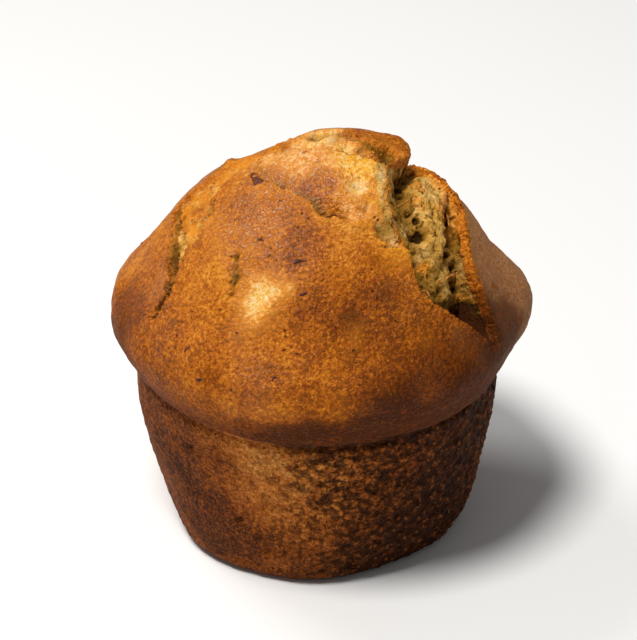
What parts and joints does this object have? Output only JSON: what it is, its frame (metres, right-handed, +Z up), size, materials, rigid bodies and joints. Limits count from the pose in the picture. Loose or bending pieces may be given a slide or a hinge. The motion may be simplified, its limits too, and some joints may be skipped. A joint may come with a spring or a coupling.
{
  "type": "muffin",
  "caption": "Round baked muffin without a paper case: a tapered cup, a domed crown spilling over its rim, and a wide torn split across the top.",
  "frame": {"origin": "under the middle of the muffin's plan, on the board it stands on", "axes": "+Z up; -Y is the front; +X is the right, the side to which the wide split runs down"},
  "size_m": [0.0806, 0.0804, 0.079],
  "materials": {
    "baked_crust": "browned cake crust, semi-matt with a faint greasy sheen; paler open crumb in the splits"
  },
  "bodies": {
    "root": {"muffin": "baked_crust"}
  },
  "joints": []
}
